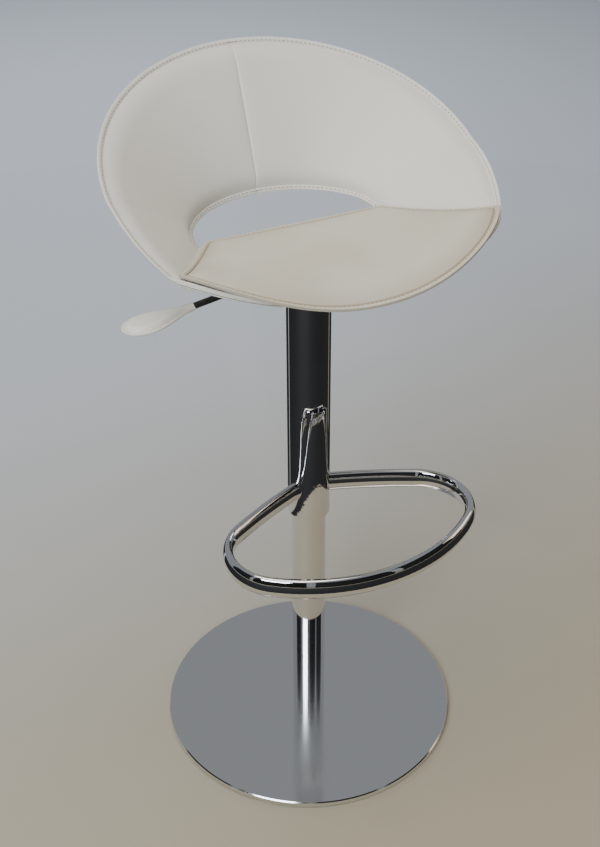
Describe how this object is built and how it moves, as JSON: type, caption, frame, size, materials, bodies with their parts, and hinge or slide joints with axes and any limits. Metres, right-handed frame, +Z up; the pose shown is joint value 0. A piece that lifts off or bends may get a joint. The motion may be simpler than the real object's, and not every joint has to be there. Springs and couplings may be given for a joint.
{
  "type": "adjustable swivel stool",
  "caption": "Swivel bar stool with a leather seat pan, a wraparound backrest with a crescent gap, a gas lift worked by a paddle lever, an oval foot ring and a round base.",
  "frame": {"origin": "centre of the base's underside, on the column's axis, at the floor", "axes": "+Z up the column; the sitter faces -Y; the lever's handle is on the -X side"},
  "size_m": [0.5328, 0.4687, 1.0049],
  "materials": {
    "polished_tube": "mirror chrome plating",
    "polished_base": "mirror polished stainless steel",
    "zinc_steel": "zinc plated steel",
    "black_steel": "satin black powder coat",
    "pressed_steel": "grey primer",
    "white_leather": "fine grain, stitched",
    "black_nylon": "moulded",
    "black_rubber": "matt"
  },
  "bodies": {
    "stand": {"base_plate": "polished_base", "floor_pad": "black_rubber", "stand_tube": "polished_tube", "foot_plug": "zinc_steel", "base_screws": "zinc_steel", "guide_bush": "black_nylon", "rod_support_disc": "zinc_steel", "lower_race": "zinc_steel"},
    "rod": {"bearing_balls": "zinc_steel", "upper_race": "zinc_steel", "piston_rod": "polished_tube", "rod_clip": "zinc_steel", "bump_stop": "black_rubber", "piston": "zinc_steel", "piston_seal": "black_rubber"},
    "column": {"gas_cylinder": "black_steel", "cylinder_gland": "black_nylon", "cover_tube": "polished_tube", "cover_glide": "black_nylon", "cover_collar": "black_nylon", "footrest_saddle": "polished_tube", "footrest_ring": "polished_tube", "taper_hub": "black_steel", "mechanism_housing": "black_steel", "mechanism_plate": "black_steel", "lever_pivot_pin": "zinc_steel", "pan_pad": "white_leather", "pan_board": "pressed_steel", "pan_lining": "white_leather", "back_pad": "white_leather", "back_shell": "pressed_steel", "back_cover": "white_leather", "plate_spacers": "black_rubber", "seat_screws": "zinc_steel"},
    "release_pin": {"release_pin": "zinc_steel"},
    "lever": {"lever_rod": "black_steel", "handle_core": "black_nylon", "handle_cover": "white_leather"}
  },
  "joints": [
    {"name": "swivel", "type": "hinge", "parent": "stand", "child": "rod", "pos_m": [0, 0, 0.028], "axis": [0, 0, 1], "continuous": true},
    {"name": "lift", "type": "slide", "parent": "rod", "child": "column", "axis": [0, 0, 1], "range_m": [-0.22, 0]},
    {"name": "lever", "type": "hinge", "parent": "column", "child": "lever", "pos_m": [-0.03687, -0.00919, 0.771], "axis": [-0.2419, 0.9703, 0], "range_deg": [0, 6], "stiffness_Nm_per_rad": 0.6, "springref_deg": -5.73},
    {"name": "pin_press", "type": "slide", "parent": "column", "child": "release_pin", "axis": [0, 0, -1], "range_m": [0, 0.0045]}
  ],
  "couplings": [
    {"joint": "pin_press", "follows": "lever", "m_per_rad": 0.038}
  ]
}
